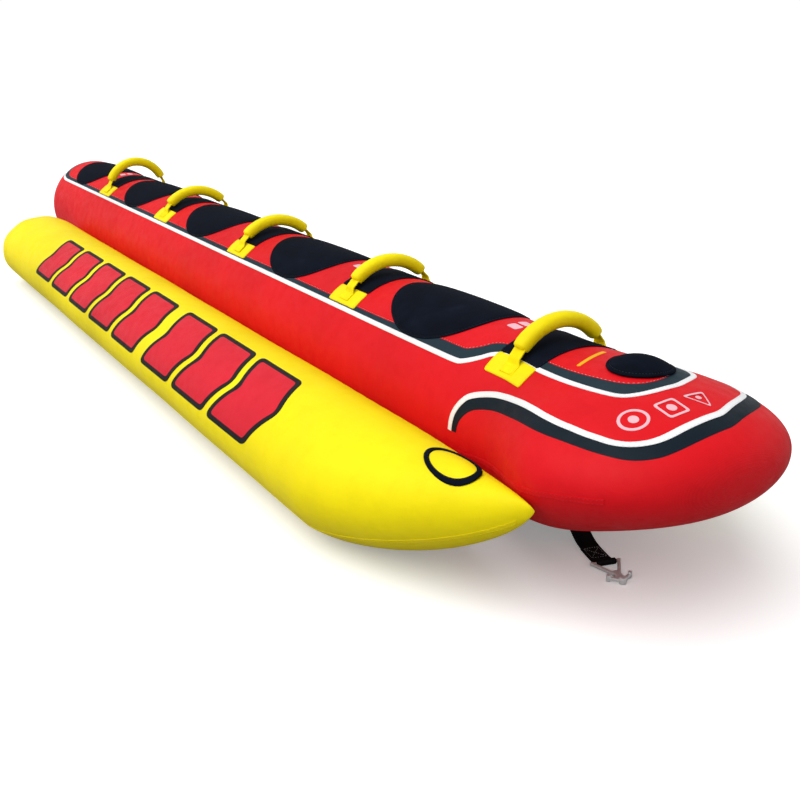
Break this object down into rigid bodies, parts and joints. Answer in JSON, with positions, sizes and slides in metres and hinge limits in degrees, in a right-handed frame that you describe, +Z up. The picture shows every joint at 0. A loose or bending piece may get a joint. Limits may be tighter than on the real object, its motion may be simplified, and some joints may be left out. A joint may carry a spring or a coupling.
{
  "type": "towable tube",
  "caption": "Long in-line inflatable towable: round covered centre tube with seats and arched handles, a lower pontoon on each side, and a webbing tow strap with a cast hook.",
  "frame": {"origin": "on the floor, under the middle of the whole tube", "axes": "+X forward to the nose and the tow hook, +Y to port, +Z up"},
  "size_m": [4.46, 1.1746, 0.585],
  "materials": {
    "red_nylon": "woven, slightly glossy",
    "yellow_nylon": "woven, slightly glossy",
    "black_neoprene": "matt",
    "pvc_skin": "smooth",
    "black_webbing": "woven webbing",
    "valve_rubber": "matt",
    "valve_plastic": "matt",
    "cast_metal": "cast and tumbled"
  },
  "bodies": {
    "hull": {"center_cover": "red_nylon", "center_bladder": "pvc_skin", "starboard_pontoon_cover": "yellow_nylon", "starboard_pontoon_bladder": "pvc_skin", "starboard_join_web": "red_nylon", "starboard_valve_body": "valve_plastic", "starboard_valve_membrane": "valve_rubber", "port_pontoon_cover": "yellow_nylon", "port_pontoon_bladder": "pvc_skin", "port_join_web": "red_nylon", "port_valve_body": "valve_plastic", "port_valve_membrane": "valve_rubber", "center_valve_body": "valve_plastic", "center_valve_membrane": "valve_rubber", "seat_pad_1": "black_neoprene", "handle_patches_1": "yellow_nylon", "knuckle_guard_1": "black_neoprene", "seat_pad_2": "black_neoprene", "handle_patches_2": "yellow_nylon", "knuckle_guard_2": "black_neoprene", "seat_pad_3": "black_neoprene", "handle_patches_3": "yellow_nylon", "knuckle_guard_3": "black_neoprene", "seat_pad_4": "black_neoprene", "handle_patches_4": "yellow_nylon", "knuckle_guard_4": "black_neoprene", "seat_pad_5": "black_neoprene", "handle_patches_5": "yellow_nylon", "knuckle_guard_5": "black_neoprene", "tow_patch": "black_webbing", "center_zip_tape": "black_webbing", "tail_drain_eyelet": "cast_metal"},
    "handle_1": {"handle_webbing_1": "yellow_nylon", "handle_grip_1": "yellow_nylon"},
    "handle_2": {"handle_webbing_2": "yellow_nylon", "handle_grip_2": "yellow_nylon"},
    "handle_3": {"handle_webbing_3": "yellow_nylon", "handle_grip_3": "yellow_nylon"},
    "handle_4": {"handle_webbing_4": "yellow_nylon", "handle_grip_4": "yellow_nylon"},
    "handle_5": {"handle_webbing_5": "yellow_nylon", "handle_grip_5": "yellow_nylon"},
    "nose_flap": {"center_valve_flap": "black_neoprene"},
    "nose_cap": {"center_valve_cap": "valve_plastic"},
    "starboard_flap": {"starboard_valve_flap": "yellow_nylon", "starboard_valve_flap_binding": "black_neoprene"},
    "starboard_cap": {"starboard_valve_cap": "valve_plastic"},
    "port_flap": {"port_valve_flap": "yellow_nylon", "port_valve_flap_binding": "black_neoprene"},
    "port_cap": {"port_valve_cap": "valve_plastic"},
    "strap": {"tow_strap": "black_webbing"},
    "hook": {"tow_hook": "cast_metal"},
    "zip_slider": {"center_zip_slider": "cast_metal"}
  },
  "joints": [
    {"name": "handle_1_lean", "type": "hinge", "parent": "hull", "child": "handle_1", "pos_m": [-1.3275, 0, 0.47209], "axis": [0, 1, 0], "range_deg": [-22, 22], "stiffness_Nm_per_rad": 2},
    {"name": "handle_2_lean", "type": "hinge", "parent": "hull", "child": "handle_2", "pos_m": [-0.5775, 0, 0.47209], "axis": [0, 1, 0], "range_deg": [-22, 22], "stiffness_Nm_per_rad": 2},
    {"name": "handle_3_lean", "type": "hinge", "parent": "hull", "child": "handle_3", "pos_m": [0.1725, 0, 0.47209], "axis": [0, 1, 0], "range_deg": [-22, 22], "stiffness_Nm_per_rad": 2},
    {"name": "handle_4_lean", "type": "hinge", "parent": "hull", "child": "handle_4", "pos_m": [0.9225, 0, 0.47209], "axis": [0, 1, 0], "range_deg": [-22, 22], "stiffness_Nm_per_rad": 2},
    {"name": "handle_5_lean", "type": "hinge", "parent": "hull", "child": "handle_5", "pos_m": [1.6725, 0, 0.47031], "axis": [0, 1, 0], "range_deg": [-22, 22], "stiffness_Nm_per_rad": 2},
    {"name": "nose_flap_lift", "type": "hinge", "parent": "hull", "child": "nose_flap", "pos_m": [1.833, 0.035, 0.4845], "axis": [0, -1, 0], "range_deg": [0, 120]},
    {"name": "nose_cap_unscrew", "type": "hinge", "parent": "hull", "child": "nose_cap", "pos_m": [1.902, 0.035, 0.48174], "axis": [0.029, 0.069, 0.9972], "range_deg": [0, 360]},
    {"name": "starboard_flap_lift", "type": "hinge", "parent": "hull", "child": "starboard_flap", "pos_m": [1.699, -0.375, 0.3134], "axis": [0, -1, 0], "range_deg": [0, 95]},
    {"name": "starboard_cap_unscrew", "type": "hinge", "parent": "hull", "child": "starboard_cap", "pos_m": [1.785, -0.375, 0.30706], "axis": [0.0365, -0.0496, 0.9981], "range_deg": [0, 360]},
    {"name": "port_flap_lift", "type": "hinge", "parent": "hull", "child": "port_flap", "pos_m": [1.699, 0.375, 0.3134], "axis": [0, -1, 0], "range_deg": [0, 95]},
    {"name": "port_cap_unscrew", "type": "hinge", "parent": "hull", "child": "port_cap", "pos_m": [1.785, 0.375, 0.30706], "axis": [0.0365, 0.0496, 0.9981], "range_deg": [0, 360]},
    {"name": "strap_lift", "type": "hinge", "parent": "hull", "child": "strap", "pos_m": [1.7, 0.045, 0.043], "axis": [-0.2756, -0.9613, 0], "range_deg": [-20, 18]},
    {"name": "hook_turn", "type": "hinge", "parent": "strap", "child": "hook", "pos_m": [1.88841, -0.00903, 0.009], "axis": [0.2756, 0.9613, 0], "range_deg": [-75, 75]},
    {"name": "zip_run", "type": "slide", "parent": "hull", "child": "zip_slider", "axis": [1, 0, 0], "range_m": [0, 0.46]}
  ]
}
